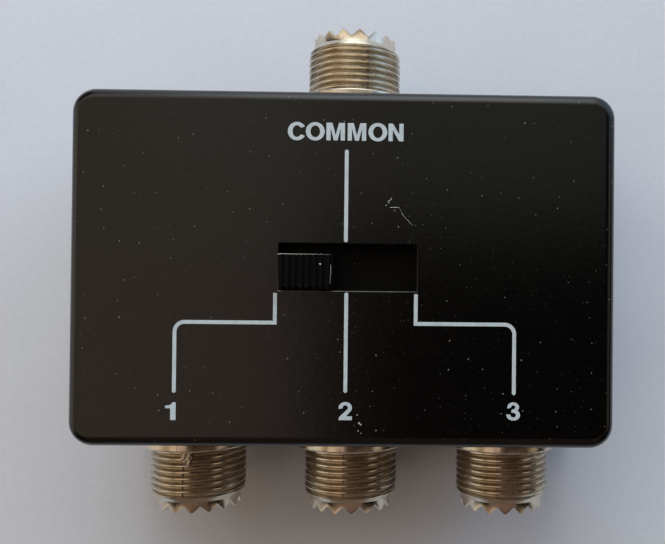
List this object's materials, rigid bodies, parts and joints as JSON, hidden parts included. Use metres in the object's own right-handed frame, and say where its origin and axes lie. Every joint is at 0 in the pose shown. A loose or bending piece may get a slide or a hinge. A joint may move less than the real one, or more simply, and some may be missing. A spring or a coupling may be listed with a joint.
{
  "type": "coaxial antenna switch",
  "caption": "Die-cast box that connects one common coaxial port to one of three others through a three-position slide switch.",
  "frame": {"origin": "centre of the rear cover's outer face, under the middle of the box", "axes": "+Z out of the front face, +X towards port 3 and +Y towards the common port"},
  "size_m": [0.084, 0.0808, 0.0324],
  "materials": {
    "black_paint": "satin fine-textured black paint on a die-cast box",
    "nickel": "bright nickel plating on turned brass",
    "zinc_steel": "zinc-plated steel",
    "plated_sheet": "plated sheet steel",
    "spring_steel": "polished spring steel",
    "brass": "bright brass",
    "copper": "bare tinned copper wire",
    "phenolic": "dark brown moulded phenolic",
    "board": "laminated phenolic board",
    "carrier_plastic": "moulded phenolic",
    "black_plastic": "matt black moulded plastic with a fine grain"
  },
  "bodies": {
    "case": {"housing": "black_paint", "rear_cover": "black_paint", "cover_screws": "zinc_steel", "shell_common": "nickel", "shell_1": "nickel", "shell_2": "nickel", "shell_3": "nickel", "insulator_common": "phenolic", "insulator_1": "phenolic", "insulator_2": "phenolic", "insulator_3": "phenolic", "contact_common": "brass", "contact_1": "brass", "contact_2": "brass", "contact_3": "brass", "lock_washers": "zinc_steel", "mount_nuts": "nickel", "switch_frame": "plated_sheet", "frame_screws": "zinc_steel", "terminal_board": "board", "terminal_common": "brass", "terminal_1": "brass", "terminal_2": "brass", "terminal_3": "brass", "lead_common": "copper", "lead_1": "copper", "lead_2": "copper", "lead_3": "copper"},
    "slider": {"slider_knob": "black_plastic", "slider_carrier": "carrier_plastic", "contact_clip": "brass", "detent_spring": "spring_steel", "detent_balls": "spring_steel"}
  },
  "joints": [
    {"name": "knob_slide", "type": "slide", "parent": "case", "child": "slider", "axis": [1, 0, 0], "range_m": [0, 0.0126]}
  ]
}
